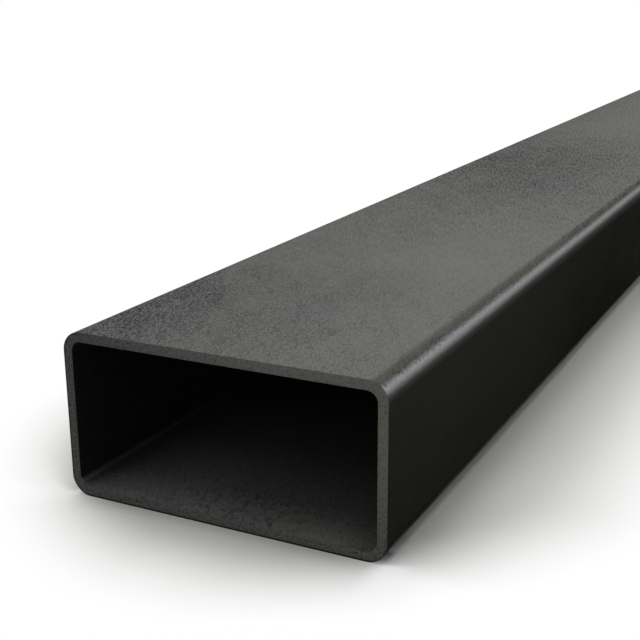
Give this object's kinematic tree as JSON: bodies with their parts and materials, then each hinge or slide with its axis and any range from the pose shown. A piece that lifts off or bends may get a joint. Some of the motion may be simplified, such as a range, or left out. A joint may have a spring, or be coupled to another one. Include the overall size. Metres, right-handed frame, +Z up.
{
  "type": "rectangular steel tube",
  "caption": "Rectangular steel tube with rounded corners and an even wall, open and sawn square at both ends; stock for frames, posts, rails and brackets.",
  "frame": {"origin": "on the floor, under the middle of the tube", "axes": "X across the section, +Y along the tube away from the end that the picture shows, +Z up from the wide face it lies on"},
  "size_m": [0.1, 1, 0.05],
  "materials": {
    "steel": "dark grey mill scale, dull and mottled, with smoother bends and bare sawn ends"
  },
  "bodies": {
    "root": {"tube": "steel"}
  },
  "joints": []
}
